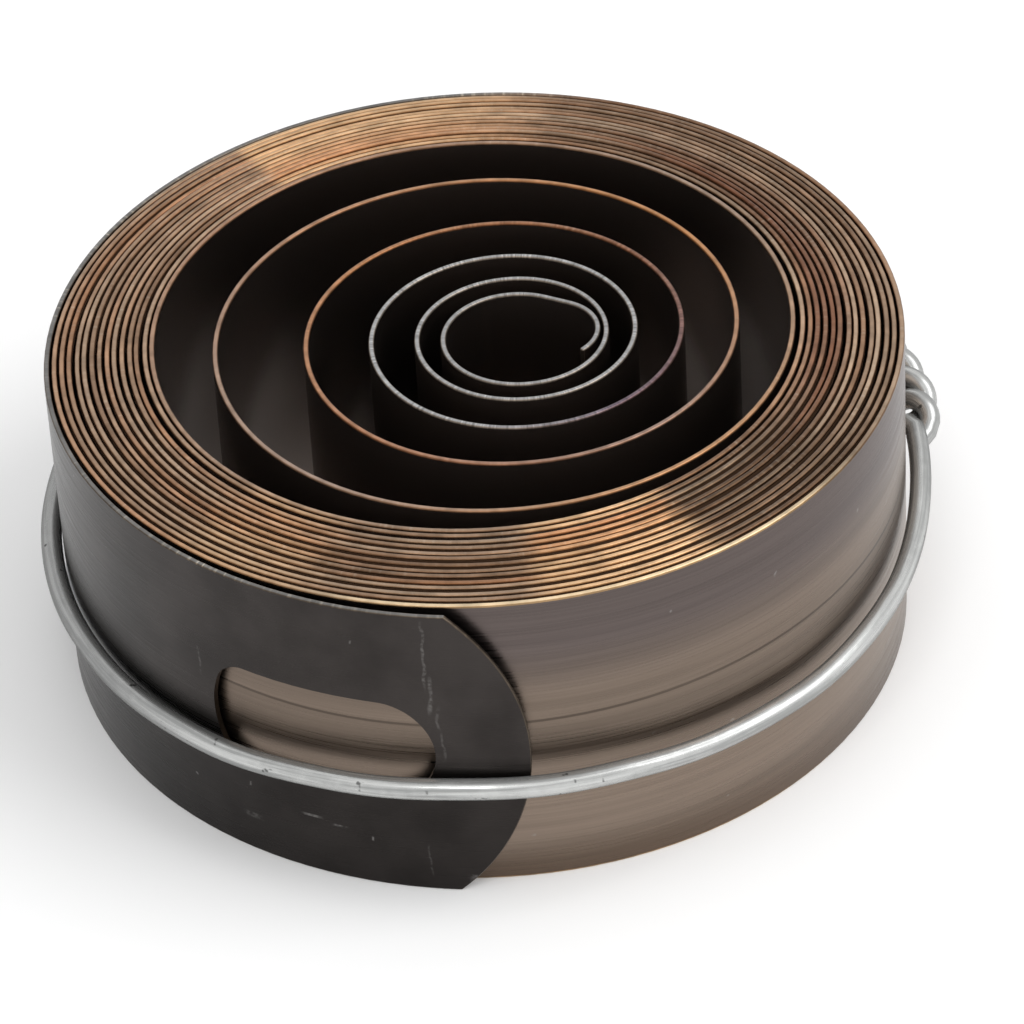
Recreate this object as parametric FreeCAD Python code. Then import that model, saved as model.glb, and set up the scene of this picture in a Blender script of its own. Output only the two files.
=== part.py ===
# Spiral power spring: a long strip of spring steel wound into a flat coil, as it is sold,
# with a ring of soft round wire about it that keeps it from unwinding.
# Millimetres, +Z up. The coil stands on the strip's lower edge at z = 0 and its axis is Z.
# The front is -Y. Angles are in degrees, anticlockwise seen from above, from +X.
import FreeCAD, Part
import math
import os
from FreeCAD import Vector

# The strip
strip_width = 19.8
strip_thickness = 0.33

# The packed outer turns, which lie open at the front and close up at the back
coil_radius = 24.6
packed_turns = 14
layer_gap_front = 0.17
layer_gap_back = 0.03

# The packed layers that the outermost turn hides run in short straights, to keep the mesh light
straights_per_quarter = 15

# The open turns, in quarters from the back of the eye outwards, a turn to a row.
# Each number is the share of the growth in radius, from the eye to the pack, done by then.
eye_radius = 4.15
open_growth = [
    0.000, 0.024, 0.051, 0.078,
    0.100, 0.126, 0.167, 0.215,
    0.259, 0.301, 0.358, 0.431,
    0.486, 0.527, 0.608, 0.712,
    0.782, 0.821, 0.895, 0.979,
    0.988,
]

# The inner end leaves the eye's round, runs straight and hooks down just inside the next turn
hook_bend_angle = 27.0
hook_radius = 2.75
hook_angle = 115.0
hook_gap = 0.15

# The outer end springs out a little. An arc across the strip makes its tip,
# and a slot, rounded towards the tip, takes the anchor that it hooks on.
end_spring_out = 0.3
tip_corner_angle = 264.2
tip_length = 4.3
slot_start_angle = 231.0
slot_length = 13.5
slot_height = 7.0
slot_end_bulge = 1.1
slot_corner_radius = 1.2

# The binding wire: short straight runs of fine prism stand for the round wire's bends
wire_diameter = 1.25
wire_clearance = 0.05
wire_height = 7.75
wire_sides = 16
wire_run_angle = 7.5

# The wire's two ends climb to the right side, where they are twisted about each other
twist_height = 9.8
twist_climb_angle = 30.0
twist_start_angle = 6.5
twist_half_turns = 5
twist_half_turn_angle = 5.2
twist_tail_half_turns = 0.25
twist_strand_gap = 0.04
twist_runs_per_half_turn = 4

side_names = ["right", "back", "left", "front"]
outward = [Vector(1, 0, 0), Vector(0, 1, 0), Vector(-1, 0, 0), Vector(0, -1, 0)]
up = Vector(0, 0, 1)
cut_depth = 1.0


def polar(radius, degrees, height=0.0):
    angle = math.radians(degrees)
    return Vector(radius * math.cos(angle), radius * math.sin(angle), height)


def arc_edge(centre, radius, first_angle, last_angle):
    middle_angle = (first_angle + last_angle) / 2
    points = [centre + polar(radius, angle) for angle in (first_angle, middle_angle, last_angle)]
    return Part.Arc(*points).toShape()


def straight_edges(centre, radius, first_angle, last_angle):
    """Short straights from point to point of an arc."""
    step = (last_angle - first_angle) / straights_per_quarter
    angles = [first_angle + step * number for number in range(straights_per_quarter + 1)]
    points = [centre + polar(radius, angle) for angle in angles]
    return [Part.makeLine(*pair) for pair in zip(points, points[1:])]


# The strip's middle line is a chain of quarter circles that run on smoothly.
# Each quarter is its centre, its radius and the side where it starts.
def next_quarter_in(quarter, radius):
    centre, outer_radius, side = quarter
    return centre + outward[side] * (outer_radius - radius), radius, (side - 1) % 4


def next_quarter_out(quarter, radius):
    centre, inner_radius, side = quarter
    side = (side + 1) % 4
    return centre + outward[side] * (inner_radius - radius), radius, side


def growth_at(side):
    """How much the radius of a packed turn grows where the strip passes this side."""
    mean_gap = (layer_gap_front + layer_gap_back) / 2
    drift = (layer_gap_front - layer_gap_back) / 4
    extra = {"back": drift, "front": -drift}
    return (strip_thickness + mean_gap) / 4 + extra.get(side_names[side], 0.0)


def quarter_turns():
    """All the quarters, from the inner end outwards."""
    quarters = [(Vector(0, 0, 0), coil_radius, side_names.index("back"))]
    for number in range(4 * packed_turns - 1):
        radius = quarters[0][1] - growth_at(quarters[0][2])
        quarters.insert(0, next_quarter_in(quarters[0], radius))
    pack_radius = quarters[0][1]
    for share in reversed(open_growth):
        radius = eye_radius + share * (pack_radius - eye_radius)
        quarters.insert(0, next_quarter_in(quarters[0], radius))
    end_radius = coil_radius + growth_at(side_names.index("left")) + end_spring_out
    quarters.append(next_quarter_out(quarters[-1], end_radius))
    return quarters


def hook_edges(quarters, offset):
    """The inner end's wall at this offset from the middle line, up to the back of the eye."""
    centre, radius, side = quarters[0]
    next_centre, next_radius, side = quarters[2]
    reach = next_centre.x + next_radius - strip_thickness - hook_gap
    bend = 90.0 - hook_bend_angle
    bend_end = centre + polar(radius, bend)
    hook_start_x = reach - hook_radius + polar(hook_radius, bend).x
    run = (hook_start_x - bend_end.x) / math.sin(math.radians(bend))
    hook_start = bend_end + polar(run, bend - 90.0)
    hook_centre = hook_start - polar(hook_radius, bend)
    return [
        arc_edge(hook_centre, hook_radius + offset, bend - hook_angle, bend),
        Part.makeLine(hook_start + polar(offset, bend), bend_end + polar(offset, bend)),
        arc_edge(centre, radius + offset, bend, 90.0),
    ]


def wound_strip(quarters):
    """The strip from its inner end to the last quarter but one."""
    first_packed = len(open_growth)
    outermost = len(quarters) - 5
    walls = []
    for offset in (-strip_thickness / 2, strip_thickness / 2):
        wall = hook_edges(quarters, offset)
        for number, (centre, radius, side) in enumerate(quarters[:-1]):
            span = (centre, radius + offset, 90.0 * side, 90.0 * side + 90.0)
            hidden = first_packed <= number < outermost
            wall += straight_edges(*span) if hidden else [arc_edge(*span)]
        walls.append(wall)
    inner, outer = walls
    inner_end = Part.makeLine(inner[0].firstVertex().Point, outer[0].firstVertex().Point)
    outer_end = Part.makeLine(inner[-1].lastVertex().Point, outer[-1].lastVertex().Point)
    outline = Part.Wire(inner + [outer_end] + outer[::-1] + [inner_end])
    return Part.Face(outline).extrude(up * strip_width)


# The outer end, made about the Z axis. Its cutters are made at the front, where x runs along
# the strip towards its tip, and then turned to their place.
def ring_sector(radius, depth, first_angle, last_angle, base, height):
    """A piece of a ring wall whose middle has this radius."""
    centre = Vector(0, 0, base)
    inner = arc_edge(centre, radius - depth / 2, first_angle, last_angle)
    outer = arc_edge(centre, radius + depth / 2, first_angle, last_angle)
    first = Part.makeLine(inner.firstVertex().Point, outer.firstVertex().Point)
    last = Part.makeLine(inner.lastVertex().Point, outer.lastVertex().Point)
    return Part.Face(Part.Wire([inner, last, outer, first])).extrude(up * height)


def cutting_block(radius, first_x, last_x, height):
    corner = Vector(first_x, -radius - cut_depth, (strip_width - height) / 2)
    return Part.makeBox(last_x - first_x, 2 * cut_depth, height, corner)


def cutting_disc(radius, disc_radius, x):
    base = Vector(x, cut_depth - radius, strip_width / 2)
    return Part.makeCylinder(disc_radius, 2 * cut_depth, base, Vector(0, -1, 0))


def turned_to(shape, degrees):
    return shape.rotated(Vector(0, 0, 0), up, degrees - 270.0)


def slot_cutter(radius):
    """A slot with one round end, and a shallow end with rounded corners."""
    half = slot_height / 2
    start_length = slot_end_bulge + slot_corner_radius
    start_angle = slot_start_angle + math.degrees(start_length / radius)
    round_angle = slot_start_angle + math.degrees((slot_length - half) / radius)
    bottom = strip_width / 2 - half
    middle = ring_sector(radius, 2 * cut_depth, start_angle, round_angle, bottom, slot_height)
    round_end = turned_to(cutting_disc(radius, half, 0.0), round_angle)

    bulge_radius = (half ** 2 + slot_end_bulge ** 2) / (2 * slot_end_bulge)
    bulge = cutting_disc(radius, bulge_radius, bulge_radius - start_length)
    shallow_end = cutting_block(radius, -start_length, 0.0, slot_height).common(bulge)
    corners = [edge for edge in shallow_end.Edges if is_slot_corner(edge, half)]
    shallow_end = turned_to(shallow_end.makeFillet(slot_corner_radius, corners), start_angle)
    return middle.fuse([round_end, shallow_end])


def is_slot_corner(edge, half):
    """The edges through the strip where the slot's shallow end meets its long sides."""
    box = edge.BoundBox
    through = box.YLength > cut_depth and box.XLength < 0.01
    return through and box.XMax < -0.01 and abs(abs(box.Center.z - strip_width / 2) - half) < 0.01


def tip_cutter(radius, tip_angle):
    """All that lies beyond the arc across the strip."""
    half = strip_width / 2
    arc_radius = (half ** 2 + tip_length ** 2) / (2 * tip_length)
    waste = cutting_block(radius, -tip_length - cut_depth, cut_depth, strip_width + 2 * cut_depth)
    return turned_to(waste.cut(cutting_disc(radius, arc_radius, -arc_radius)), tip_angle)


def outer_end(quarters):
    """The strip's last stretch, with its slot and its tip cut."""
    centre, radius, side = quarters[-1]
    tip_angle = tip_corner_angle + math.degrees(tip_length / radius)
    spare = math.degrees(cut_depth / 2 / radius)
    end = ring_sector(radius, strip_thickness, 90.0 * side, tip_angle + spare, 0.0, strip_width)
    return end.cut([tip_cutter(radius, tip_angle), slot_cutter(radius)]).translated(centre)


def spring_strip():
    quarters = quarter_turns()
    return wound_strip(quarters).fuse(outer_end(quarters))


# The binding wire
def ring_radius_at(degrees):
    """The wire lies close about the coil, and further out at the front, over the sprung end."""
    end_centre, end_radius, side = quarter_turns()[-1]
    sprung_out = end_radius - end_centre.y - coil_radius
    at_front = max(0.0, -math.sin(math.radians(degrees)))
    middle = coil_radius + (strip_thickness + wire_diameter) / 2 + wire_clearance
    return (middle + sprung_out * at_front ** 2) / math.cos(math.radians(wire_run_angle / 2))


def wire_points():
    """The wire's middle line: a strand of the twist, the ring, and the twist's other strand."""
    strand_middle = (wire_diameter + twist_strand_gap) / 2
    strand_radius = strand_middle / math.cos(math.radians(90.0 / twist_runs_per_half_turn))
    twist_end_angle = twist_start_angle + twist_half_turns * twist_half_turn_angle
    ring_angle = 360.0 + twist_start_angle - twist_end_angle
    ring_runs = math.ceil(ring_angle / wire_run_angle)

    def strand_point(half_turns, phase):
        angle = twist_start_angle + half_turns * twist_half_turn_angle
        turned = polar(strand_radius, 180.0 * half_turns + phase)
        axis_radius = ring_radius_at(angle) + strand_radius
        return polar(axis_radius + turned.x, angle, twist_height + turned.y)

    def ring_point(along):
        share = max(0.0, 1.0 - min(along, ring_angle - along) / twist_climb_angle)
        climb = (twist_height - wire_height) * share * share * (3 - 2 * share)
        angle = twist_end_angle + along
        return polar(ring_radius_at(angle), angle, wire_height + climb)

    steps = range(twist_half_turns * twist_runs_per_half_turn + 1)
    places = [step / twist_runs_per_half_turn for step in steps]
    tail = twist_tail_half_turns
    first_strand = [strand_point(place, 0.0) for place in [-tail] + places]
    ring = [ring_point(ring_angle * run / ring_runs) for run in range(1, ring_runs)]
    last_strand = [strand_point(place, 180.0) for place in places + [places[-1] + tail]]
    return first_strand + ring + last_strand


def binding_wire():
    points = wire_points()
    start = (points[1] - points[0]).normalize()
    across = start.cross(up).normalize() * (wire_diameter / 2)
    turns = [FreeCAD.Rotation(start, 360.0 * number / wire_sides) for number in range(wire_sides)]
    corners = [points[0] + turn.multVec(across) for turn in turns]
    section = Part.makePolygon(corners + corners[:1])
    solid, frenet, mitred = True, False, 1
    return Part.makePolygon(points).makePipeShell([section], solid, frenet, mitred)


parts = {
    "spring_strip": spring_strip(),
    "binding_wire": binding_wire(),
}
os.makedirs("parts", exist_ok=True)
for name, shape in parts.items():
    solid = shape.Solids[0]
    print(name, "solids", len(shape.Solids), "valid", solid.isValid(), "volume %.1f" % solid.Volume)
    solid.exportStep("parts/" + name + ".step")
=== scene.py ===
# A spiral power spring in its wire tie: the wound strip and the binding wire, with their finishes,
# the studio and the camera.
# Sizes in the settings are in millimetres and degrees; mm turns them into scene units.
import math
import bpy
from mathutils import Matrix, Vector


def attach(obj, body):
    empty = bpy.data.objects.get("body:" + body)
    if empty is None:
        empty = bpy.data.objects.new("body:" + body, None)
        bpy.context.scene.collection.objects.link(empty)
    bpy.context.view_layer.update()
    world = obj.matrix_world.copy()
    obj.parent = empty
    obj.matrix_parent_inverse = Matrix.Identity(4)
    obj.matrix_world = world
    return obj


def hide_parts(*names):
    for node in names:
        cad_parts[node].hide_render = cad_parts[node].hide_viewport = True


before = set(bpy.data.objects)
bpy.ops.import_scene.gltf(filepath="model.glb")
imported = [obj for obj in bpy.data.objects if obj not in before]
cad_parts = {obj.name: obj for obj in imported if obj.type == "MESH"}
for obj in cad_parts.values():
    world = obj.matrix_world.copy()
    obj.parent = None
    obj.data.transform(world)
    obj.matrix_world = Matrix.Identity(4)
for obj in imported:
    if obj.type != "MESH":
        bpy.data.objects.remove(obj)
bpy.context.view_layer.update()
mm = 0.001
hair = 0.001 * mm                       # what lies closer together than this is in one place
scene = bpy.context.scene
print("frame loaded")


# Small helpers

def polar(radius, degrees, height=0.0):
    angle = math.radians(degrees)
    return Vector((radius * math.cos(angle), radius * math.sin(angle), height))


def deselectAll():
    for thing in bpy.context.selected_objects:
        thing.select_set(False)


def makeActive(piece):
    deselectAll()
    piece.select_set(True)
    bpy.context.view_layer.objects.active = piece


def selectWhere(piece, test):
    # selects the vertices that pass, and leaves the piece in edit mode
    bpy.ops.object.mode_set(mode="EDIT")
    bpy.ops.mesh.select_mode(type="VERT")
    bpy.ops.mesh.select_all(action="DESELECT")
    bpy.ops.object.mode_set(mode="OBJECT")
    for vertex in piece.data.vertices:
        vertex.select = test(vertex.co)
    bpy.ops.object.mode_set(mode="EDIT")


def useModifier(piece, kind, name, **settings):
    modifier = piece.modifiers.new(name, kind)
    for key, value in settings.items():
        setattr(modifier, key, value)
    makeActive(piece)
    bpy.ops.object.modifier_apply(modifier=modifier.name)


def smoothThrough(points, at):
    # a smooth curve through a few (place, value) pairs
    places = [place for place, value in points]
    if at <= places[0]:
        return points[0][1]
    if at >= places[-1]:
        return points[-1][1]
    after = next(number for number, place in enumerate(places) if place > at)

    def slope(number):
        before, beyond = max(number - 1, 0), min(number + 1, len(points) - 1)
        return (points[beyond][1] - points[before][1]) / (places[beyond] - places[before])

    (x0, y0), (x1, y1) = points[after - 1], points[after]
    span = x1 - x0
    t = (at - x0) / span
    return (y0 * (1 + 2 * t) * (1 - t) ** 2 + y1 * t * t * (3 - 2 * t)
            + slope(after - 1) * span * t * (1 - t) ** 2 - slope(after) * span * t * t * (1 - t))


def wavesAt(waves, at):
    # a few sine waves added up, each with its rate, phase and size
    return sum(math.sin(at * rate + phase) * size for rate, phase, size in waves)


# The strip

strip = {
    "width": 19.8,
    "thickness": 0.33,
    "coilRadius": 24.6,
    "packedTurns": 14,
    "layerGapFront": 0.17,
    "layerGapBack": 0.03,
    "gapUnevenness": 0.85,          # share of the local gap that a layer may wander by
    "wander": [(2.61, 0.4, 0.55), (4.13, 1.7, 0.45)],
    "heightUnevenness": 0.06,
    "rise": [(2.17, 2.0, 0.5), (4.71, 0.3, 0.5)],
    "looseBefore": 0.2,             # turns before the pack, and before the tip's corners, where
    "looseUntil": 1.6,              # the unevenness starts and stops
    "eyeRadius": 4.15,
    "openGrowth": [                 # share of the growth to the pack done at each quarter turn
        0.000, 0.024, 0.051, 0.078,
        0.100, 0.126, 0.167, 0.215,
        0.259, 0.301, 0.358, 0.431,
        0.486, 0.527, 0.608, 0.712,
        0.782, 0.821, 0.895, 0.979,
        0.988,
    ],
    "hookBend": 27.0,
    "hookRadius": 2.75,
    "hookAngle": 115.0,
    "hookGap": 0.15,
    "endSpringOut": 0.38,
    "endFlare": 0.2,
    "flareLength": 50.4,            # degrees over which the end flares outwards
    "flarePastCorner": 10.8,        # degrees past the tip's corners where the flare is full
    "flareTurns": 0.2,              # only this last part of the strip is moved
    "turnsInAll": 19.96,            # from the inner end to the tip
    "tipCorner": 263.2,
    "tipLength": 4.3,
    "tipBefore": 4.0,               # degrees of even mesh before the tip's corners
    "tipRows": 40,                  # cuts across the tip, and steps along it
    "tipSteps": 12,
    "slotStart": 230.2,
    "slotLength": 13.5,
    "slotHeight": 7.0,
    "slotBulge": 1.1,
    "slotCorner": 1.2,
    "slotCutDepth": 0.6,
    "slotEndSegments": 24,
    "slotCornerSegments": 8,
    "slotBulgeCuts": 12,
    "edgeRounding": 0.13,
    "edgeSegments": 4,
    "edgeAngle": 50.0,
    "smoothAngle": 34.0,
    "stepsAtLeast": 14,             # steps to a quarter, and how many more for each mm of radius
    "stepsPerRadius": 0.75,
}
sideNames = ["right", "back", "left", "front"]
outward = [Vector((1, 0, 0)), Vector((0, 1, 0)), Vector((-1, 0, 0)), Vector((0, -1, 0))]


def flareAt(angle):
    # how far the outer end springs away from the coil
    before = strip["tipCorner"] + strip["flarePastCorner"] - angle
    return strip["endFlare"] * max(0.0, 1 - before / strip["flareLength"]) ** 2


def growthAt(side):
    # how much wider a quarter is than the one inside it; the gaps are wider at the front
    meanGap = (strip["layerGapFront"] + strip["layerGapBack"]) / 2
    drift = (strip["layerGapFront"] - strip["layerGapBack"]) / 4
    extra = {"back": drift, "front": -drift}
    return (strip["thickness"] + meanGap) / 4 + extra.get(sideNames[side], 0.0)


def stripQuarters():
    # the centre and radius of every quarter circle of the winding, from the inner end outwards;
    # while they are worked out, each one also has the side that it starts from
    def nextIn(quarter, radius):
        centre, outerRadius, side = quarter
        return centre + outward[side] * (outerRadius - radius), radius, (side - 1) % 4

    quarters = [(Vector((0, 0, 0)), strip["coilRadius"], 1)]
    for number in range(4 * strip["packedTurns"] - 1):
        quarters.insert(0, nextIn(quarters[0], quarters[0][1] - growthAt(quarters[0][2])))
    packRadius = quarters[0][1]
    for share in reversed(strip["openGrowth"]):
        radius = strip["eyeRadius"] + share * (packRadius - strip["eyeRadius"])
        quarters.insert(0, nextIn(quarters[0], radius))
    centre, radius = quarters[-1][:2]
    endRadius = radius + growthAt(2) + strip["endSpringOut"]
    quarters.append((centre + outward[2] * (radius - endRadius), endRadius, 2))
    return [quarter[:2] for quarter in quarters]


def stepsFor(radius, degrees):
    steps = strip["stepsAtLeast"] + strip["stepsPerRadius"] * radius
    return max(2, round(steps * degrees / 90.0))


def spinOn(centre, degrees, steps):
    # winds the selected end edge on about a centre
    bpy.ops.mesh.spin(steps=steps, angle=math.radians(degrees), center=centre * mm, axis=(0, 0, -1))


def hookPlaces(quarters):
    # the inner end bends straight off the first quarter, and hooks back just inside the next turn
    centre, radius = quarters[0]
    nextCentre, nextRadius = quarters[2]
    reach = nextCentre.x + nextRadius - strip["thickness"] - strip["hookGap"]
    bend = 90.0 - strip["hookBend"]
    hookRadius = strip["hookRadius"]
    hookStartX = reach - hookRadius + polar(hookRadius, bend).x
    bendEnd = centre + polar(radius, bend)
    run = (hookStartX - bendEnd.x) / math.sin(math.radians(bend))
    hookStart = bendEnd + polar(run, bend - 90.0)
    hookCentre = hookStart - polar(hookRadius, bend)
    innerEnd = hookCentre + polar(hookRadius, bend - strip["hookAngle"])
    return innerEnd, hookCentre, bendEnd - hookStart


def startStrip(innerEnd):
    # a plane standing on its edge, of which only the side at the strip's inner end is left
    deselectAll()
    half = strip["width"] / 2
    place = (innerEnd + Vector((half, 0, half))) * mm
    bpy.ops.mesh.primitive_plane_add(size=strip["width"] * mm, location=place, rotation=(math.pi / 2, 0, 0))
    piece = bpy.context.object
    piece.name = "wound_strip"
    bpy.ops.object.transform_apply(location=True, rotation=True, scale=True)
    selectWhere(piece, lambda co: co.x > (innerEnd.x + half) * mm)
    bpy.ops.mesh.delete(type="VERT")
    bpy.ops.mesh.select_all(action="SELECT")
    return piece


def windStrip(quarters):
    # the end edge is spun round the hook's centre and then round each quarter's, as the strip was wound
    innerEnd, hookCentre, straight = hookPlaces(quarters)
    piece = startStrip(innerEnd)
    turns = [0.0]

    def wind(centre, radius, degrees):
        steps = stepsFor(radius, degrees)
        spinOn(centre, degrees, steps)
        before = turns[-1]
        turns.extend([before + degrees / 360.0 * (step + 1) / steps for step in range(steps)])

    wind(hookCentre, strip["hookRadius"], strip["hookAngle"])
    bpy.ops.mesh.extrude_region_move(TRANSFORM_OT_translate={"value": straight * mm})
    centre, radius = quarters[0]
    turns.append(turns[-1] + straight.length / (2 * math.pi * radius))
    wind(centre, radius, strip["hookBend"])
    for centre, radius in quarters[:-1]:
        wind(centre, radius, 90.0)
    centre, radius = quarters[-1]
    wind(centre, radius, strip["tipCorner"] - strip["tipBefore"] - 180.0)
    bpy.ops.object.mode_set(mode="OBJECT")

    turnOf = turnsByVertex(piece, turns, innerEnd * mm)
    shapeTip(piece, quarters[-1], turnOf, turns[-1])
    mapAlongStrip(piece, turnOf)
    loosenLayers(piece, turnOf, turns[-1])
    print("strip wound:", len(turns), "steps,", round(turns[-1], 2), "turns to the tip's corners")
    return piece


def shapeTip(piece, quarter, turnOf, lastTurn):
    # the end edge is divided and wound on over the tip, whose steps are then shared out so that
    # they end on an arc across the strip; last of all the outer end springs away from the coil
    centre, radius = quarter
    half = strip["width"] / 2
    tipLength = strip["tipLength"]
    arcRadius = (half ** 2 + tipLength ** 2) / (2 * tipLength)
    start = strip["tipCorner"] - strip["tipBefore"]
    reach = strip["tipBefore"] + math.degrees(tipLength / radius)
    endTurn = max(turnOf.values())
    selectWhere(piece, lambda co: False)
    bpy.ops.object.mode_set(mode="OBJECT")
    for vertex in piece.data.vertices:
        vertex.select = turnOf[vertex.index] == endTurn
    bpy.ops.object.mode_set(mode="EDIT")
    bpy.ops.mesh.subdivide(number_cuts=strip["tipRows"])
    spinOn(centre, reach, strip["tipSteps"])
    bpy.ops.object.mode_set(mode="OBJECT")
    for vertex in piece.data.vertices:
        away = vertex.co.xy / mm - centre.xy
        angle = math.degrees(math.atan2(away.y, away.x)) % 360
        if vertex.index not in turnOf:
            across = vertex.co.z / mm - half
            length = math.sqrt(arcRadius ** 2 - across ** 2) - (arcRadius - tipLength)
            share = (angle - start) / reach
            angle = start + share * (strip["tipBefore"] + math.degrees(length / radius))
            turnOf[vertex.index] = lastTurn + (angle - start) / 360.0
        if turnOf[vertex.index] > lastTurn - strip["flareTurns"]:
            place = centre + polar(radius + flareAt(angle), angle)
            vertex.co.xy = place.xy * mm


def turnsByVertex(piece, turns, start):
    # follows the lower edge from the inner end, and gives each vertex its place along the strip
    points = piece.data.vertices
    along = {point.index: [] for point in points}
    above = {}
    for edge in piece.data.edges:
        low, high = sorted(edge.vertices, key=lambda number: points[number].co.z)
        if abs(points[low].co.z - points[high].co.z) > mm:
            above[low] = high
        else:
            along[low].append(high)
            along[high].append(low)
    here = min(above, key=lambda number: (points[number].co - start).length)
    before = None
    turnOf = {}
    for turn in turns:
        turnOf[here] = turnOf[above[here]] = turn
        onward = [number for number in along[here] if number != before]
        before, here = here, onward[0] if onward else None
    return turnOf


def mapAlongStrip(piece, turnOf):
    # U counts the turns from the inner end, V goes from the lower edge to the upper one
    layer = piece.data.uv_layers.new(name="alongStrip")
    for loop in piece.data.loops:
        height = piece.data.vertices[loop.vertex_index].co.z / (strip["width"] * mm)
        layer.data[loop.index].uv = (turnOf[loop.vertex_index], height)


def loosenLayers(piece, turnOf, lastTurn):
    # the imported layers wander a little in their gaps, less where the gaps are narrow, and their
    # upper edges rise and fall; the innermost and outermost layers stay as they are
    first = lastTurn - strip["packedTurns"] - strip["looseBefore"]
    last = lastTurn - strip["looseUntil"]
    for vertex in piece.data.vertices:
        turn = turnOf[vertex.index]
        away = min(max(turn - first, 0.0), max(last - turn, 0.0), 1.0)
        around = vertex.co.xy.normalized()
        gap = (strip["layerGapFront"] + strip["layerGapBack"]) / 2
        gap -= (strip["layerGapFront"] - strip["layerGapBack"]) / 2 * around.y
        shift = wavesAt(strip["wander"], turn) * away * gap * strip["gapUnevenness"] / 2
        vertex.co.xy += around * (shift * mm)
        if vertex.co.z > strip["width"] / 2 * mm:
            vertex.co.z += wavesAt(strip["rise"], turn) * away * strip["heightUnevenness"] * mm


def makeCutter():
    # a flat block with the slot's outline, standing along X, with the strip's finishes
    length, height = strip["slotLength"], strip["slotHeight"]
    deselectAll()
    bpy.ops.mesh.primitive_cube_add(size=1, location=(0, 0, 0))
    piece = bpy.context.object
    piece.name = "slot cutter"
    piece.scale = (length * mm, strip["slotCutDepth"] * mm, height * mm)
    piece.location = (length / 2 * mm, 0.0, strip["width"] / 2 * mm)
    bpy.ops.object.transform_apply(location=True, rotation=True, scale=True)
    for finish in stripFinishes:
        piece.data.materials.append(finish)
    for face in piece.data.polygons:
        face.material_index = 1
    piece.data.uv_layers[0].name = "alongStrip"
    for corner in piece.data.uv_layers["alongStrip"].data:
        corner.uv = (strip["turnsInAll"], 0.5)
    return piece


def selectEdges(piece, test):
    bpy.ops.object.mode_set(mode="EDIT")
    bpy.ops.mesh.select_mode(type="EDGE")
    bpy.ops.mesh.select_all(action="DESELECT")
    bpy.ops.object.mode_set(mode="OBJECT")
    for edge in piece.data.edges:
        first, second = [piece.data.vertices[number].co for number in edge.vertices]
        edge.select = test(first, second)
    bpy.ops.object.mode_set(mode="EDIT")


def isAtEnd(first, second, atX):
    return abs(first.x - atX) < hair and abs(second.x - atX) < hair


def isLevel(first, second):
    return abs(first.z - second.z) < hair


def roundEnd(piece, atX, radius, segments):
    # rounds the two edges that run through the cutter at one end
    selectEdges(piece, lambda a, b: isAtEnd(a, b, atX) and isLevel(a, b))
    bpy.ops.mesh.bevel(offset=radius * mm, segments=segments, affect="EDGES", clamp_overlap=False)
    bpy.ops.mesh.remove_doubles(threshold=hair)
    bpy.ops.object.mode_set(mode="OBJECT")


def cutSlot(piece, quarter):
    # the anchor slot: round towards the tip, and a shallow curve with small corners behind
    centre, radius = quarter
    length, half = strip["slotLength"], strip["slotHeight"] / 2
    cutter = makeCutter()
    roundEnd(cutter, length * mm, half, strip["slotEndSegments"])
    roundEnd(cutter, 0.0, strip["slotCorner"], strip["slotCornerSegments"])
    selectEdges(cutter, lambda a, b: isAtEnd(a, b, 0.0) and not isLevel(a, b))
    bpy.ops.mesh.subdivide(number_cuts=strip["slotBulgeCuts"])
    for cut in range(1, int(length)):
        bpy.ops.mesh.select_all(action="SELECT")
        bpy.ops.mesh.bisect(plane_co=(length * mm * cut / int(length), 0, 0), plane_no=(1, 0, 0))
    bpy.ops.object.mode_set(mode="OBJECT")
    for vertex in cutter.data.vertices:
        co = vertex.co
        behind = strip["slotBulge"] * (min(abs(co.z / mm - strip["width"] / 2), half) / half) ** 2
        along = co.x / mm + behind * (1 - co.x / mm / length)
        angle = strip["slotStart"] + math.degrees(along / radius)
        place = centre + polar(radius - co.y / mm + flareAt(angle), angle)
        vertex.co = (place.x * mm, place.y * mm, co.z)
    useModifier(piece, "BOOLEAN", "slot", operation="DIFFERENCE", object=cutter, solver="MANIFOLD")
    bpy.data.objects.remove(cutter)
    print("slot cut")


def smoothOuterEnd(piece, quarter):
    # round the slot the wall's faces are uneven, so their normals are set to point from the axis
    centre, radius = quarter
    outerEnd = (180.0, 276.0)           # degrees
    elsewhere = 9.0                     # an offset that no wall has
    close = 0.02                        # how far a vertex may lie off the wall
    points = piece.data.vertices
    offsets = []
    for point in points:
        away = point.co.xy / mm - centre.xy
        angle = math.degrees(math.atan2(away.y, away.x)) % 360
        isHere = outerEnd[0] <= angle <= outerEnd[1]
        offsets.append(away.length - radius - flareAt(angle) if isHere else elsewhere)
    normals = [(0.0, 0.0, 0.0)] * len(piece.data.loops)
    for face in piece.data.polygons:
        offset = sum(offsets[number] for number in face.vertices) / len(face.vertices)
        facing = 1.0 if offset > 0 else -1.0
        wall = facing * strip["thickness"] / 2
        if all(abs(offsets[number] - wall) < close for number in face.vertices):
            face.material_index = 0
            for corner in face.loop_indices:
                away = points[piece.data.loops[corner].vertex_index].co.xy - centre.xy * mm
                away = away.normalized() * facing
                normals[corner] = (away.x, away.y, 0.0)
    piece.data.normals_split_custom_set(normals)


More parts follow.
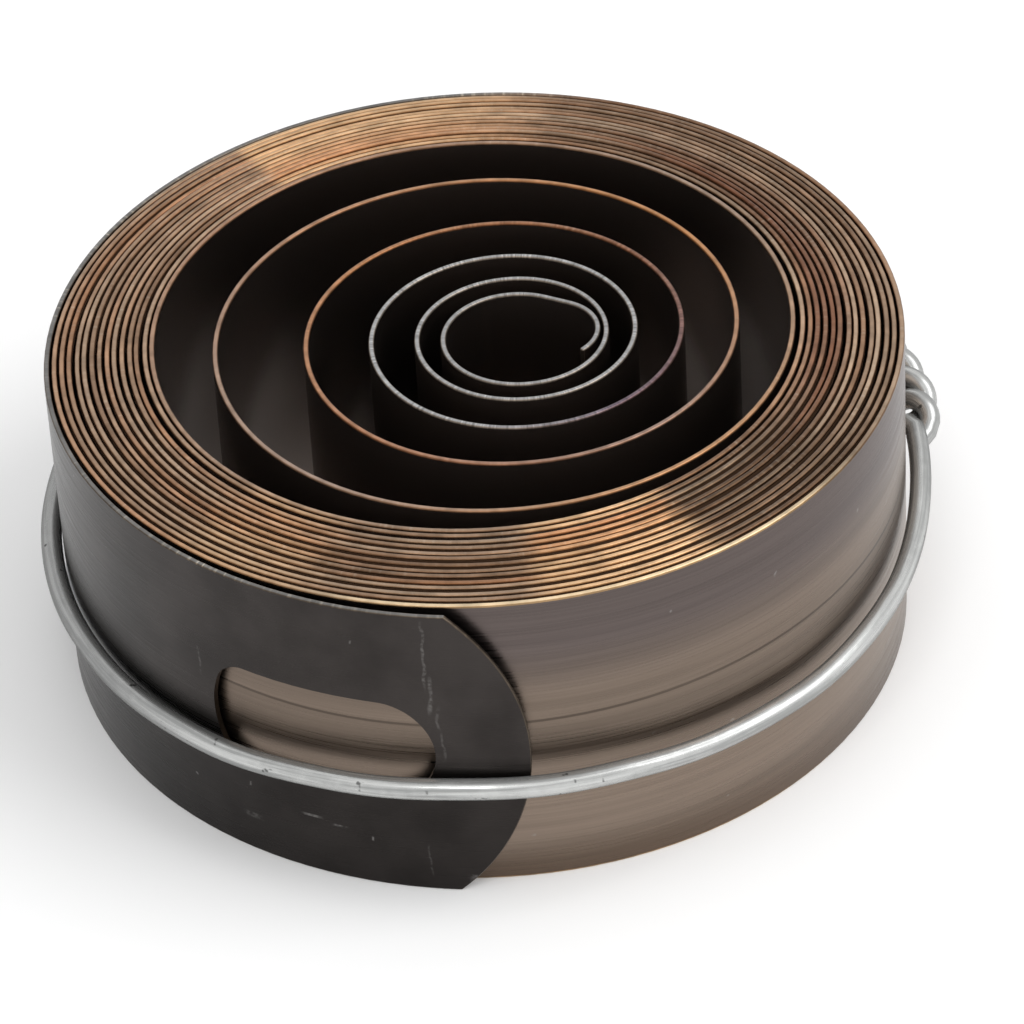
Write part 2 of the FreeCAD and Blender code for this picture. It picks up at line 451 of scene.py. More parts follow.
def makeStrip():
    quarters = stripQuarters()
    piece = windStrip(quarters)
    for finish in stripFinishes:
        piece.data.materials.append(finish)
    useModifier(piece, "SOLIDIFY", "thickness", thickness=strip["thickness"] * mm, offset=0.0,
                use_even_offset=True, material_offset_rim=1)
    makeActive(piece)
    bpy.ops.object.mode_set(mode="EDIT")
    bpy.ops.mesh.select_all(action="SELECT")
    bpy.ops.mesh.normals_make_consistent(inside=False)
    bpy.ops.object.mode_set(mode="OBJECT")
    useModifier(piece, "BEVEL", "edge rounding", width=strip["edgeRounding"] * mm, material=1,
                segments=strip["edgeSegments"], limit_method="ANGLE",
                angle_limit=math.radians(strip["edgeAngle"]), use_clamp_overlap=False)
    cutSlot(piece, quarters[-1])
    makeActive(piece)
    bpy.ops.object.shade_smooth_by_angle(angle=math.radians(strip["smoothAngle"]))
    smoothOuterEnd(piece, quarters[-1])
    print("strip finished:", len(piece.data.polygons), "faces")
    return piece


# The binding wire

wire = {
    "diameter": 1.25,
    "twistHeight": 9.8,
    "twistStart": 5.3,
    "halfTurns": 5,
    "halfTurnAngle": 5.2,
    "tailHalfTurns": 0.4,
    "tailTuck": 0.35,
    "strandGap": 0.04,
    "radii": [(32.5, 25.5), (90, 25.5), (180, 25.45), (215, 25.6), (245, 25.80), (270, 25.98),
              (290, 25.84), (320, 25.6), (350, 25.47), (366.5, 25.5)],
    "heights": [(32.5, 9.8), (40, 9.3), (52, 8.1), (64, 7.75), (180, 7.9), (207, 7.5), (240, 7.65),
                (272, 8.08), (305, 7.7), (330, 8.0), (345, 8.4), (355, 9.25), (366.5, 9.8)],
    "waves": [(0.13, 0.0, 0.06), (0.31, 1.0, 0.036)],    # the ring isn't quite straight
    "stepAngle": 1.5,
    "stepsPerHalfTurn": 12,
    "roundness": 5,
    "smoothAngle": 45.0,
}


def wirePath():
    strandRadius = (wire["diameter"] + wire["strandGap"]) / 2
    twistEnd = wire["twistStart"] + wire["halfTurns"] * wire["halfTurnAngle"]

    def strandPoint(place, phase):
        angle = wire["twistStart"] + place * wire["halfTurnAngle"]
        turned = polar(strandRadius, 180.0 * place + phase)
        axisRadius = wire["radii"][0][1] + strandRadius - wire["tailTuck"] * max(0.0, 1 - place) ** 2
        return polar(axisRadius + turned.x, angle, wire["twistHeight"] + turned.y)

    count = wire["halfTurns"] * wire["stepsPerHalfTurn"]
    places = [step / wire["stepsPerHalfTurn"] for step in range(count + 1)]
    tail = wire["tailHalfTurns"]
    first = [strandPoint(place, 0.0) for place in [-tail, -tail / 2] + places]
    last = [strandPoint(place, 180.0) for place in places + [places[-1] + tail / 2, places[-1] + tail]]
    ring = []
    angle = twistEnd + wire["stepAngle"]
    while angle < 360 + wire["twistStart"] - wire["stepAngle"] / 2:
        height = smoothThrough(wire["heights"], angle) + wavesAt(wire["waves"], angle)
        ring.append(polar(smoothThrough(wire["radii"], angle), angle, height))
        angle += wire["stepAngle"]
    return first + ring + last


def makeWire():
    points = wirePath()
    line = bpy.data.curves.new("wire line", "CURVE")
    line.dimensions = "3D"
    spline = line.splines.new("POLY")
    spline.points.add(len(points) - 1)
    for point, place in zip(spline.points, points):
        point.co = (place.x * mm, place.y * mm, place.z * mm, 1.0)
    line.bevel_depth = wire["diameter"] / 2 * mm
    line.bevel_resolution = wire["roundness"]
    line.use_fill_caps = True
    piece = bpy.data.objects.new("tie_wire", line)
    scene.collection.objects.link(piece)
    makeActive(piece)
    bpy.ops.object.convert(target="MESH")
    piece = bpy.context.object
    bpy.ops.object.mode_set(mode="EDIT")
    bpy.ops.mesh.select_all(action="SELECT")
    bpy.ops.mesh.remove_doubles(threshold=hair)
    bpy.ops.mesh.normals_make_consistent(inside=False)
    bpy.ops.object.mode_set(mode="OBJECT")
    bpy.ops.object.shade_smooth_by_angle(angle=math.radians(wire["smoothAngle"]))
    print("wire bent:", len(piece.data.polygons), "faces")
    return piece


# Finishes

def addNode(tree, kind, inputs=None, **settings):
    node = tree.nodes.new(kind)
    for key, value in settings.items():
        setattr(node, key, value)
    for key, value in (inputs or {}).items():
        if isinstance(value, bpy.types.NodeSocket):
            tree.links.new(value, node.inputs[key])
        else:
            node.inputs[key].default_value = value
    return node


def compute(tree, operation, a, b=0.0, clamp=False):
    return addNode(tree, "ShaderNodeMath", {0: a, 1: b}, operation=operation, use_clamp=clamp).outputs[0]


def multiply(tree, first, *others):
    for other in others:
        first = compute(tree, "MULTIPLY", first, other)
    return first


def band(tree, value, start, end):
    # 0 at the start, 1 at the end and smooth between; the start may be the larger
    node = addNode(tree, "ShaderNodeMapRange", {"Value": value, "From Min": start, "From Max": end},
                   interpolation_type="SMOOTHSTEP")
    return node.outputs["Result"]


def between(tree, value, low, high, least=0.0, most=1.0):
    # low at the least value, high at the most, and in proportion between
    node = addNode(tree, "ShaderNodeMapRange", {"Value": value, "From Min": least, "From Max": most,
                                                "To Min": low, "To Max": high})
    return node.outputs["Result"]


def noiseAt(tree, place, scale, detail, roughness=0.5):
    node = addNode(tree, "ShaderNodeTexNoise", {"Vector": place, "Scale": scale, "Detail": detail,
                                                "Roughness": roughness})
    return node.outputs["Fac"]


def blendColours(tree, share, a, b, mode="MIX"):
    node = addNode(tree, "ShaderNodeMix", data_type="RGBA", blend_type=mode)
    for socket, value in ((node.inputs["Factor"], share), (node.inputs[6], a), (node.inputs[7], b)):
        if isinstance(value, bpy.types.NodeSocket):
            tree.links.new(value, socket)
        else:
            socket.default_value = value if socket.type == "VALUE" else (*value, 1.0)
    return node.outputs[2]


def shadeBy(tree, colour, amount):
    # makes a colour lighter or darker by the same amount all through
    grey = addNode(tree, "ShaderNodeCombineColor", {0: amount, 1: amount, 2: amount})
    return blendColours(tree, 1.0, colour, grey.outputs[0], "MULTIPLY")


def bumpOf(tree, height, strength, depth):
    # the depth is in millimetres
    bump = addNode(tree, "ShaderNodeBump", {"Height": height, "Strength": strength, "Distance": depth * mm})
    return bump.outputs[0]


def newFinish(name):
    material = bpy.data.materials.new(name)
    material.use_nodes = True
    material.node_tree.nodes.clear()
    return material, material.node_tree


def closeFinish(tree, colour, roughness, **others):
    inputs = {"Base Color": colour, "Roughness": roughness, **others}
    shader = addNode(tree, "ShaderNodeBsdfPrincipled", inputs)
    output = addNode(tree, "ShaderNodeOutputMaterial")
    tree.links.new(shader.outputs[0], output.inputs["Surface"])


def startGroup(name, inputs, outputs):
    group = bpy.data.node_groups.new(name, "ShaderNodeTree")
    for key, kind, value in inputs:
        socket = group.interface.new_socket(name=key, in_out="INPUT", socket_type=kind)
        if value is not None:
            socket.default_value = value
    for key, kind in outputs:
        group.interface.new_socket(name=key, in_out="OUTPUT", socket_type=kind)
    return group, group.nodes.new("NodeGroupInput"), group.nodes.new("NodeGroupOutput")


def drawnGrainGroup():
    # fine lines left by rolling, which run along the strip
    noiseRoughness = 0.6
    limits = (0.3, 0.7)
    group, given, made = startGroup(
        "drawnGrain",
        [("Along", "NodeSocketFloat", 0.0), ("Across", "NodeSocketFloat", 0.0),
         ("Along Scale", "NodeSocketFloat", 10.0), ("Across Scale", "NodeSocketFloat", 100.0),
         ("Detail", "NodeSocketFloat", 3.0)],
        [("Value", "NodeSocketFloat")])
    along = multiply(group, given.outputs["Along"], given.outputs["Along Scale"])
    across = multiply(group, given.outputs["Across"], given.outputs["Across Scale"])
    place = addNode(group, "ShaderNodeCombineXYZ", {"X": along, "Y": across})
    noise = noiseAt(group, place.outputs[0], 1.0, given.outputs["Detail"], noiseRoughness)
    group.links.new(band(group, noise, *limits), made.inputs["Value"])
    return group


def specksGroup():
    # scattered small spots, such as nicks and dirt
    noiseDetail, noiseRoughness = 2.0, 0.7
    group, given, made = startGroup(
        "specks",
        [("Vector", "NodeSocketVector", None), ("Scale", "NodeSocketFloat", 1000.0),
         ("Least", "NodeSocketFloat", 0.65), ("Most", "NodeSocketFloat", 0.75)],
        [("Mask", "NodeSocketFloat")])
    noise = noiseAt(group, given.outputs["Vector"], given.outputs["Scale"], noiseDetail, noiseRoughness)
    mask = band(group, noise, given.outputs["Least"], given.outputs["Most"])
    group.links.new(mask, made.inputs["Mask"])
    return group


def aroundCoilGroup():
    # a soft-edged mask over part of the way round the coil, in degrees from the front
    group, given, made = startGroup(
        "aroundCoil",
        [("Vector", "NodeSocketVector", None), ("From", "NodeSocketFloat", -30.0),
         ("To", "NodeSocketFloat", 30.0), ("Softness", "NodeSocketFloat", 4.0)],
        [("Mask", "NodeSocketFloat")])
    parts = addNode(group, "ShaderNodeSeparateXYZ", {"Vector": given.outputs["Vector"]})
    ahead = multiply(group, parts.outputs["Y"], -1.0)
    angle = compute(group, "ARCTAN2", parts.outputs["X"], ahead)
    degrees = multiply(group, angle, 180.0 / math.pi)
    soft = given.outputs["Softness"]
    edges = []
    for limit in (given.outputs["From"], given.outputs["To"]):
        edges.append(band(group, degrees, compute(group, "SUBTRACT", limit, soft),
                          compute(group, "ADD", limit, soft)))
    group.links.new(compute(group, "SUBTRACT", edges[0], edges[1], True), made.inputs["Mask"])
    return group


groups = {
    "drawnGrain": drawnGrainGroup(),
    "specks": specksGroup(),
    "aroundCoil": aroundCoilGroup(),
}


def useGroup(tree, name, inputs):
    return addNode(tree, "ShaderNodeGroup", inputs, node_tree=groups[name]).outputs[0]


def grainOn(tree, turns, height, alongScale, acrossScale, detail):
    return useGroup(tree, "drawnGrain", {"Along": turns, "Across": height, "Along Scale": alongScale,
                                         "Across Scale": acrossScale, "Detail": detail})


def specksOn(tree, place, scale, least, most):
    return useGroup(tree, "specks", {"Vector": place, "Scale": scale, "Least": least, "Most": most})


def zoneAround(tree, place, start, end, softness):
    return useGroup(tree, "aroundCoil", {"Vector": place, "From": start, "To": end, "Softness": softness})


def stripPlaces(tree):
    # turns from the inner end, height from 0 to 1, and Object coordinates
    alongStrip = addNode(tree, "ShaderNodeUVMap", uv_map="alongStrip")
    parts = addNode(tree, "ShaderNodeSeparateXYZ", {"Vector": alongStrip.outputs[0]})
    return parts.outputs["X"], parts.outputs["Y"], addNode(tree, "ShaderNodeTexCoord").outputs["Object"]


wallFinish = {
    # heights go from 0 at the lower edge to 1 at the upper one
    "open": (0.305, 0.258, 0.232),       # inner turns
    "drawn": (0.190, 0.148, 0.118),      # outer turns, bare and drawn
    "outerTurns": (7.0, 16.0),           # turns over which the one becomes the other
    "upper": (0.118, 0.096, 0.090),      # a cooler tint near the upper edge
    "upperHeights": (0.62, 0.86),
    "lower": (0.106, 0.077, 0.058),      # browner at the lower edge
    "lowerHeights": (0.16, 0.02),
    "paintedLightLowDown": 1.30,                    # painted light: the bare wall is painted lighter low down, below the wire, for the bright floor it reflects
    "paintedLightHeights": (0.42, 0.32),
    "fineGrain": (9.0, 160.0, 4.0),      # scale along, scale across and detail
    "fineShades": (0.90, 1.07),
    "broadGrain": (3.0, 14.0, 3.0),
    "broadShades": (0.90, 1.11),
    "lineHeight": 0.576,                 # a thin dark line along the wall, slightly wavy
    "lineHalfWidths": (0.007, 0.002),
    "lineShade": 0.45,
    "lineWave": (21.0, 0.006),
    "annealed": (0.041, 0.036, 0.034),   # the softened outer end
    "annealedTurns": (19.32, 19.42),     # turns from the inner end over which it fades in
    "cloudNoise": (260.0, 4.0),          # scale and detail
    "cloudLimits": (0.25, 0.75),
    "cloudShades": (0.82, 1.22),
    "paintedShadeLowDown": 0.70,                 # painted shade: the softened end is painted darker low down, below the wire
    "paintedShadeHeights": (0.30, 0.50),
    "speck": (0.35, 0.34, 0.33),
    "speckNoise": (900.0, 0.74, 0.80),   # scale, and the limits between which a speck fades in
    "speckShare": 0.4,
    "lip": (0.110, 0.062, 0.037),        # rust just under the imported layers' edges
    "lipHeights": (0.965, 0.988),
    "lipTurns": [(6.9, 7.1), (18.85, 18.6)],
    "lipMetallic": 0.3,
    "roughness": (0.25, 0.38),
    "groovedTurns": (15.0, 17.5),
    "grooves": (0.12, 0.02),             # strength of the bump, and its depth in millimetres
}


def bareWall(tree, turns, height, outer, fine):
    # bare drawn steel, cooler above and browner below, with its grain, one thin line, and painted light low
    # down
    f = wallFinish
    colour = blendColours(tree, outer, f["open"], f["drawn"])
    for name in ("upper", "lower"):
        here = multiply(tree, band(tree, height, *f[name + "Heights"]), outer)
        colour = blendColours(tree, here, colour, f[name])
    rate, size = f["lineWave"]
    wave = multiply(tree, compute(tree, "SINE", multiply(tree, turns, rate)), size)
    fromLine = compute(tree, "SUBTRACT", compute(tree, "ADD", height, wave), f["lineHeight"])
    fromLine = compute(tree, "ABSOLUTE", fromLine)
    line = multiply(tree, band(tree, fromLine, *f["lineHalfWidths"]), f["lineShade"])
    broad = grainOn(tree, turns, height, *f["broadGrain"])
    # painted light: the bare wall is lighter low down, standing in for the bright floor reflected there
    shade = multiply(tree, between(tree, fine, *f["fineShades"]), between(tree, broad, *f["broadShades"]),
                     between(tree, band(tree, height, *f["paintedLightHeights"]), 1.0, f["paintedLightLowDown"]))
    shade = compute(tree, "SUBTRACT", shade, line)
    return shadeBy(tree, colour, between(tree, outer, 1.0, shade))


def softenedWall(tree, height, place):
    # the softened end is clouded, and painted darker low down as shade below the wire
    f = wallFinish
    cloud = band(tree, noiseAt(tree, place, *f["cloudNoise"]), *f["cloudLimits"])
    dark, light = [[part * shade for part in f["annealed"]] for shade in f["cloudShades"]]
    colour = blendColours(tree, cloud, dark, light)
    # painted shade: darker below the wire
    upwards = band(tree, height, *f["paintedShadeHeights"])
    return shadeBy(tree, colour, between(tree, upwards, f["paintedShadeLowDown"], 1.0))


scuffs = {
    # light marks on the softened end: turns back from the tip, height, half sizes, strength
    "marks": [
        (0.0335, 0.86, 0.0008, 0.14, 0.30), (0.0315, 0.72, 0.0011, 0.08, 0.30),
        (0.0290, 0.58, 0.0007, 0.12, 0.20), (0.0790, 0.205, 0.0050, 0.006, 0.45),
        (0.0690, 0.190, 0.0040, 0.005, 0.42), (0.0560, 0.165, 0.0007, 0.010, 0.55),
        (0.1040, 0.250, 0.0007, 0.010, 0.55), (0.1030, 0.130, 0.0050, 0.012, 0.22),
        (0.0215, 0.045, 0.0022, 0.020, 0.30), (0.0350, 0.110, 0.0006, 0.070, 0.16),
        (0.1230, 0.640, 0.0007, 0.060, 0.20),
    ],
    "colour": (0.30, 0.29, 0.28),
    "bend": 0.006,                       # how far noise bends the marks, in turns
    "bendNoise": (500.0, 3.0),
    "breakNoise": (4200.0, 5.0),
    "breakLimits": (0.30, 0.70),
    "solidWidth": 0.2,                   # the share of a mark's half sizes that isn't faded
    "solidHeight": 0.5,
}


def scuffedEnd(tree, colour, turns, height, place):
    # each mark is a soft blot, bent and broken up by noise
    bend = compute(tree, "SUBTRACT", noiseAt(tree, place, *scuffs["bendNoise"]), 0.5)
    turns = compute(tree, "ADD", turns, multiply(tree, bend, scuffs["bend"]))
    total = 0.0
    for back, middle, halfTurns, halfHeight, strength in scuffs["marks"]:
        fromTurn = compute(tree, "ABSOLUTE", compute(tree, "SUBTRACT", turns, strip["turnsInAll"] - back))
        fromHeight = compute(tree, "ABSOLUTE", compute(tree, "SUBTRACT", height, middle))
        mark = multiply(tree, band(tree, fromTurn, halfTurns, halfTurns * scuffs["solidWidth"]),
                        band(tree, fromHeight, halfHeight, halfHeight * scuffs["solidHeight"]), strength)
        total = compute(tree, "MAXIMUM", total, mark)
    broken = band(tree, noiseAt(tree, place, *scuffs["breakNoise"]), *scuffs["breakLimits"])
    return blendColours(tree, multiply(tree, total, broken), colour, scuffs["colour"])


def stripWallFinish():
    material, tree = newFinish("drawn_spring_steel")
    turns, height, place = stripPlaces(tree)
    f = wallFinish
    outer = band(tree, turns, *f["outerTurns"])
    fine = grainOn(tree, turns, height, *f["fineGrain"])
    bare = bareWall(tree, turns, height, outer, fine)
    annealed = band(tree, turns, *f["annealedTurns"])
    colour = blendColours(tree, annealed, bare, softenedWall(tree, height, place))
    specks = multiply(tree, specksOn(tree, place, *f["speckNoise"]), f["speckShare"])
    colour = blendColours(tree, specks, colour, f["speck"])
    colour = scuffedEnd(tree, colour, turns, height, place)
    lip = band(tree, height, *f["lipHeights"])
    lip = multiply(tree, lip, *[band(tree, turns, *limits) for limits in f["lipTurns"]])
    colour = blendColours(tree, lip, colour, f["lip"])
    metallic = between(tree, lip, 1.0, f["lipMetallic"])
    roughness = between(tree, multiply(tree, fine, outer), *f["roughness"])
    grooved = multiply(tree, compute(tree, "SUBTRACT", 1.0, annealed), band(tree, turns, *f["groovedTurns"]))
    bump = bumpOf(tree, multiply(tree, fine, grooved), *f["grooves"])
    closeFinish(tree, colour, roughness, Normal=bump, Metallic=metallic)
    return material


edgeFinish = {
    "stops": [                            # the open turns' colours, by turns from the inner end
        (0.0, (0.21, 0.21, 0.21)), (2.9, (0.25, 0.25, 0.25)), (3.05, (0.10, 0.075, 0.095)),
        (3.3, (0.17, 0.085, 0.055)), (3.6, (0.29, 0.150, 0.08)), (3.85, (0.29, 0.150, 0.09)),
        (4.05, (0.22, 0.155, 0.13)), (4.3, (0.36, 0.180, 0.08)), (4.6, (0.26, 0.160, 0.11)),
        (4.85, (0.26, 0.190, 0.15)), (5.05, (0.34, 0.190, 0.10)), (5.3, (0.24, 0.180, 0.14)),
        (5.6, (0.27, 0.165, 0.11)), (6.0, (0.22, 0.155, 0.115)),
    ],
    "packFrom": (5.6, 6.1),
    "middleTurns": [(6.6, 8.2), (13.5, 10.5)],      # the middle of the pack fades in and out
    # grains are the scale along the strip, the scale across it, and the detail
    "layers": (1.4, 0.0, 2.0),
    "rusting": (3.7, 0.0, 1.0),
    "pack": (0.350, 0.258, 0.184),
    "packOther": (0.150, 0.088, 0.054),
    "packRust": (0.330, 0.150, 0.070),
    "rustPower": 3.0,
    "rustShare": 0.55,
    # zones are in degrees from the front: start, end, softness, and a share or shade where there is one
    "deepRust": (0.150, 0.062, 0.035),
    "deepRustZone": (62, 150, 16.0),
    "deepRustShares": (0.35, 0.95),
    # painted highlight: gold and orange are painted on the packed edges in zones round the coil, for warm
    # glints
    "glintGold": (0.580, 0.385, 0.215),
    "orange": (0.450, 0.190, 0.075),
    "orangeShares": (0.25, 0.95),
    "paintedGlintShare": 0.85,
    "paintedGlintZones": [(7, 32, 3.0, 0.85), (-44, -26, 6.0, 0.40)],
    "rearGlint": 0.66,
    "rearGlintZone": (-34, 4, 1.5),            # in degrees from the back; sharp at its start
    "rearGlintFade": (60, 14.0),               # how far before its start a second mask begins, softness
    "rearGlintPast": 80,                       # how far past its end the first one goes on
    "bright": (0.62, 0.50, 0.33),         # painted highlight: the outermost bare turn's edge is painted bright at the front
    "paintedHighlightTurns": (18.65, 18.85),
    "paintedHighlightZone": (-20, 50, 12.0),
    "paintedHighlightShare": 0.8,
    # painted light and shade: the packed edges are painted darker or lighter by where they stand round the
    # coil
    "paintedLightAndShadeZones": [
        (31, 168, 4.0, 0.73), (31, 60, 6.0, 0.60), (68, 108, 10.0, 1.35), (-24, 6, 8.0, 0.80),
    ],
    "annealed": (0.120, 0.116, 0.112),
    "annealedTurns": (19.38, 19.46),
    "grain": (60.0, 0.0, 3.0),
    "grainShades": (0.75, 1.3),
    "innerGrain": (330.0, 0.0, 3.0),      # the innermost turns have a stronger, finer grain
    "innerShades": (0.5, 1.7),
    "innerTurns": (4.0, 3.0),
    "burr": (0.75, 0.70, 0.60),           # small bright burrs, in patches
    "burrTicks": (420.0, 0.0, 2.0),
    "burrPatches": (17.0, 0.0, 1.0),
    "burrPowers": (4.0, 2.0),
    "burrShares": (0.16, 0.7),            # on the bare strip and on the softened end
    "sides": 0.58,                        # painted shade and highlight: the rounded sides of the edge are painted darker and browner, and its ridge lighter
    "paintedSideShadeTint": (1.0, 0.82, 0.66),
    "paintedRidgeLight": 1.38,
    "paintedRidgeFacing": (0.66, 1.0),             # how far upwards the surface faces there
    "roughness": 0.33,
    "pits": (4000.0, 3.0),
    "pitBump": (0.35, 0.03),
}


def openEdge(tree, turns):
    stops = edgeFinish["stops"]
    rampTurns = 20.0
    ramp = addNode(tree, "ShaderNodeValToRGB", {"Fac": compute(tree, "DIVIDE", turns, rampTurns)})
    elements = ramp.color_ramp.elements
    for element, (turn, colour) in ((elements[0], stops[0]), (elements[1], stops[-1])):
        element.position = turn / rampTurns
        element.color = (*colour, 1)
    for turn, colour in stops[1:-1]:
        elements.new(turn / rampTurns).color = (*colour, 1)
    return ramp.outputs["Color"]


def paintedGlintShare(tree, place):
    # painted highlight: golden glints are painted in two zones at the front and one at the back
    f = edgeFinish
    fromBack = addNode(tree, "ShaderNodeVectorMath", {0: place, 1: (1.0, -1.0, 1.0)}, operation="MULTIPLY")
    start, end, softness = f["rearGlintZone"]
    before, fadeSoftness = f["rearGlintFade"]
    sharp = zoneAround(tree, fromBack.outputs[0], start, end + f["rearGlintPast"], softness)
    fading = zoneAround(tree, fromBack.outputs[0], start - before, end, fadeSoftness)
    glintGold = multiply(tree, sharp, fading, f["rearGlint"])
    for *zone, share in f["paintedGlintZones"]:
        glintGold = compute(tree, "MAXIMUM", glintGold, multiply(tree, zoneAround(tree, place, *zone), share))
    return multiply(tree, glintGold, f["paintedGlintShare"])


def packedEdge(tree, turns, height, place):
    # straw and brown from layer to layer, with rust, and with painted golden glints, painted light and
    # shade, and a painted highlight in zones round the coil
    f = edgeFinish
    layered = grainOn(tree, turns, height, *f["layers"])
    rusty = grainOn(tree, turns, height, *f["rusting"])
    colour = blendColours(tree, layered, f["packOther"], f["pack"])
    rust = multiply(tree, compute(tree, "POWER", rusty, f["rustPower"]), f["rustShare"])
    colour = blendColours(tree, rust, colour, f["packRust"])
    middle = multiply(tree, *[band(tree, turns, *limits) for limits in f["middleTurns"]])
    deep = multiply(tree, zoneAround(tree, place, *f["deepRustZone"]), middle,
                    between(tree, rusty, *f["deepRustShares"]))
    colour = blendColours(tree, deep, colour, f["deepRust"])
    orange = multiply(tree, between(tree, layered, *f["orangeShares"]), middle)
    glintGold = blendColours(tree, orange, f["glintGold"], f["orange"])
    colour = blendColours(tree, paintedGlintShare(tree, place), colour, glintGold)
    # painted light and shade by zone round the coil
    for *zone, shade in f["paintedLightAndShadeZones"]:
        colour = shadeBy(tree, colour, between(tree, zoneAround(tree, place, *zone), 1.0, shade))
    # painted highlight on the outermost bare edge at the front
    outermost = band(tree, turns, *f["paintedHighlightTurns"])
    bright = multiply(tree, zoneAround(tree, place, *f["paintedHighlightZone"]), outermost, f["paintedHighlightShare"])
    return blendColours(tree, bright, colour, f["bright"])


def stripEdgeFinish():
    material, tree = newFinish("sheared_edge_steel")
    turns, height, place = stripPlaces(tree)
    f = edgeFinish
    packed = packedEdge(tree, turns, height, place)
    colour = blendColours(tree, band(tree, turns, *f["packFrom"]), openEdge(tree, turns), packed)
    annealed = band(tree, turns, *f["annealedTurns"])
    colour = blendColours(tree, annealed, colour, f["annealed"])

    innerGrain = between(tree, grainOn(tree, turns, height, *f["innerGrain"]), *f["innerShades"])
    inner = between(tree, band(tree, turns, *f["innerTurns"]), 1.0, innerGrain)
    grain = between(tree, grainOn(tree, turns, height, *f["grain"]), *f["grainShades"])
    colour = shadeBy(tree, colour, multiply(tree, grain, inner))

    ticks, patches = [compute(tree, "POWER", grainOn(tree, turns, height, *f[name]), power)
                      for name, power in zip(("burrTicks", "burrPatches"), f["burrPowers"])]
    burrs = multiply(tree, ticks, patches, between(tree, annealed, *f["burrShares"]))
    colour = blendColours(tree, burrs, colour, f["burr"])

    # painted highlight and shade: the edge is lighter where it faces upwards and darker, browner, on its
    # sides
    surfaceNormal = addNode(tree, "ShaderNodeTexCoord").outputs["Normal"]
    facing = addNode(tree, "ShaderNodeSeparateXYZ", {"Vector": surfaceNormal})
    paintedRidgeLight = band(tree, compute(tree, "ABSOLUTE", facing.outputs["Z"]), *f["paintedRidgeFacing"])
    colour = shadeBy(tree, colour, between(tree, paintedRidgeLight, f["sides"], f["paintedRidgeLight"]))
    tint = blendColours(tree, paintedRidgeLight, f["paintedSideShadeTint"], (1.0, 1.0, 1.0))
    colour = blendColours(tree, 1.0, colour, tint, "MULTIPLY")
    bump = bumpOf(tree, noiseAt(tree, place, *f["pits"]), *f["pitBump"])
    closeFinish(tree, colour, f["roughness"], Normal=bump, Metallic=1.0)
    return material


wireFinish = {
    "bright": (0.56, 0.565, 0.555),
    "dull": (0.33, 0.335, 0.33),
    "nick": (0.05, 0.05, 0.05),
    "nickNoise": (1100.0, 0.69, 0.74),
    "nickShare": 0.8,
    # painted shade: the wire is painted darker on its left side, where less light falls
    "paintedLeftShade": (0.18, 0.18, 0.18),
    "paintedLeftShadeZone": (-112, -48, 14.0),      # degrees from the front, and softness
    "paintedLeftShadeShare": 0.5,
    "streaks": (22.0, 2.2),              # how many along the wire, and how fine across it
    "streakNoise": (1.0, 4.0, 0.65),
    "mottleNoise": (1500.0, 4.0, 0.6),
    "mottleShare": 0.16,
    "dullToBright": (0.38, 0.62),
    "edgeTint": (0.35, 0.35, 0.35),
    "metallic": 0.72,
    "specular": 0.25,
    "roughness": (0.36, 0.20),           # where it is dull and where it is bright
    "roughLimits": (0.35, 0.65),
    "dents": (0.35, 0.06),               # strength of the bump, and its depth in millimetres
}


def tieWireFinish():
    # streaks along the wire, from its own length and girth, with a fine mottle, dark nicks and painted shade
    # on its left side
    material, tree = newFinish("zinc_coated_wire")
    place = addNode(tree, "ShaderNodeTexCoord").outputs["Object"]
    f = wireFinish
    alongWire = addNode(tree, "ShaderNodeUVMap", uv_map="UVMap")
    own = addNode(tree, "ShaderNodeSeparateXYZ", {"Vector": alongWire.outputs[0]})
    girth = multiply(tree, own.outputs["Y"], 2 * math.pi)
    alongScale, girthScale = f["streaks"]
    onWire = addNode(tree, "ShaderNodeCombineXYZ", {
        "X": multiply(tree, own.outputs["X"], alongScale),
        "Y": multiply(tree, compute(tree, "SINE", girth), girthScale),
        "Z": multiply(tree, compute(tree, "COSINE", girth), girthScale)})
    streaks = multiply(tree, noiseAt(tree, onWire.outputs[0], *f["streakNoise"]), 1 - f["mottleShare"])
    mottle = multiply(tree, noiseAt(tree, place, *f["mottleNoise"]), f["mottleShare"])
    mixed = compute(tree, "ADD", streaks, mottle)
    colour = blendColours(tree, band(tree, mixed, *f["dullToBright"]), f["dull"], f["bright"])
    # painted shade on the wire's left side
    paintedLeftShade = multiply(tree, zoneAround(tree, place, *f["paintedLeftShadeZone"]), f["paintedLeftShadeShare"])
    colour = blendColours(tree, paintedLeftShade, colour, f["paintedLeftShade"])
    nicks = multiply(tree, specksOn(tree, place, *f["nickNoise"]), f["nickShare"])
    colour = blendColours(tree, nicks, colour, f["nick"])
    roughness = between(tree, mixed, *f["roughness"], *f["roughLimits"])
    bump = bumpOf(tree, mixed, *f["dents"])
    closeFinish(tree, colour, roughness, Normal=bump, Metallic=f["metallic"],
                **{"Specular Tint": (*f["edgeTint"], 1.0), "Specular IOR Level": f["specular"]})
    return material


# The studio

studio = {
    "floorSize": 4.0,                     # in metres
    "floorColour": (0.92, 0.92, 0.92),
    "skyForLight": 0.9,
    "floorRoughness": 0.9,
    "lamps": [                            # name, place and size in metres, watts
        ("soft key", (0.42, -0.10, 0.50), 0.5, 1.8),
        ("soft top", (-0.08, -0.34, 0.52), 0.22, 0.45),
    ],
}
shot = {
    "target": (1.528, 8.579, 0.0),
    "distance": 353.30,
    "elevation": 38.438,
    "roll": -3.440,
    "lens": 205.0,
}


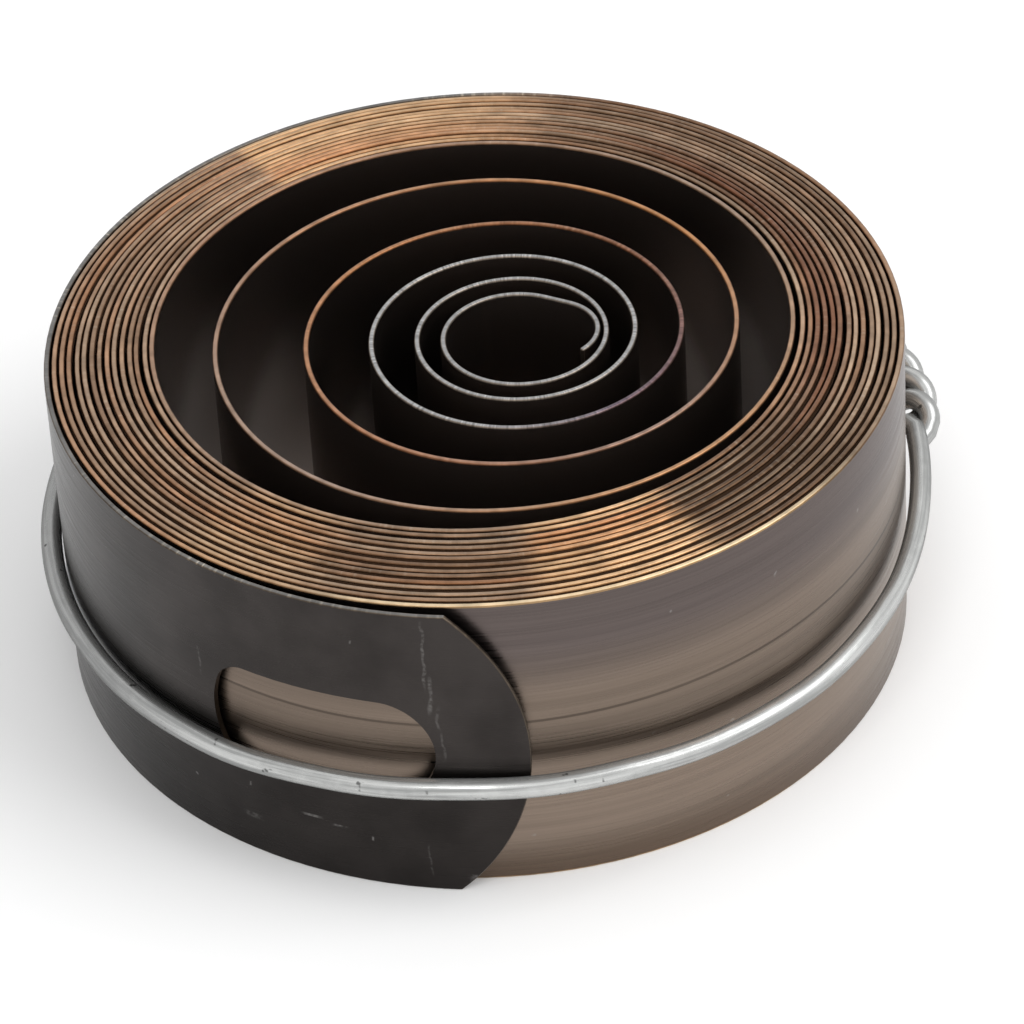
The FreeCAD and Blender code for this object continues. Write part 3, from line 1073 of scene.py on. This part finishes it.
def makeStudio():
    deselectAll()
    bpy.ops.mesh.primitive_plane_add(size=studio["floorSize"], location=(0, 0, 0))
    floor = bpy.context.object
    floor.name = "studio_floor"
    material, tree = newFinish("studio_floor_paint")
    closeFinish(tree, (*studio["floorColour"], 1.0), studio["floorRoughness"])
    floor.data.materials.append(material)

    world = bpy.data.worlds.new("studio world")
    scene.world = world
    world.use_nodes = True
    tree = world.node_tree
    tree.nodes.clear()
    path = addNode(tree, "ShaderNodeLightPath")
    seen = compute(tree, "MAXIMUM", path.outputs["Is Camera Ray"], path.outputs["Is Glossy Ray"])
    seen = compute(tree, "MAXIMUM", seen, path.outputs["Is Transmission Ray"])
    strength = between(tree, seen, studio["skyForLight"], 1.0)
    sky = addNode(tree, "ShaderNodeBackground", {"Color": (1, 1, 1, 1), "Strength": strength})
    output = addNode(tree, "ShaderNodeOutputWorld")
    tree.links.new(sky.outputs[0], output.inputs["Surface"])

    for name, place, size, watts in studio["lamps"]:
        light = bpy.data.lights.new(name, "AREA")
        light.shape = "DISK"
        light.size = size
        light.energy = watts
        lamp = bpy.data.objects.new(name, light)
        lamp.location = place
        lamp.rotation_euler = (-lamp.location).to_track_quat("-Z", "Y").to_euler()
        scene.collection.objects.link(lamp)
    print("studio set")


def makeCamera():
    lens = bpy.data.cameras.new("photo camera")
    lens.lens = shot["lens"]
    lens.sensor_width = 36.0
    lens.clip_start = 0.01
    camera = bpy.data.objects.new("photo camera", lens)
    scene.collection.objects.link(camera)
    elevation = math.radians(shot["elevation"])
    ahead = Vector((0, math.cos(elevation), -math.sin(elevation)))
    place = (Vector(shot["target"]) - ahead * shot["distance"]) * mm
    tilt = Matrix.Rotation(math.pi / 2 - elevation, 4, "X")
    roll = Matrix.Rotation(math.radians(shot["roll"]), 4, "Z")
    camera.matrix_world = Matrix.Translation(place) @ tilt @ roll
    scene.camera = camera
    print("camera placed")


makeCamera()
stripFinishes = [stripWallFinish(), stripEdgeFinish()]
woundStrip = makeStrip()
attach(woundStrip, "root")
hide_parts("spring_strip")

tieWire = makeWire()
tieWire.data.materials.append(tieWireFinish())
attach(tieWire, "root")
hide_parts("binding_wire")

makeStudio()
scene.view_settings.view_transform = "Standard"

print("pieces finished")
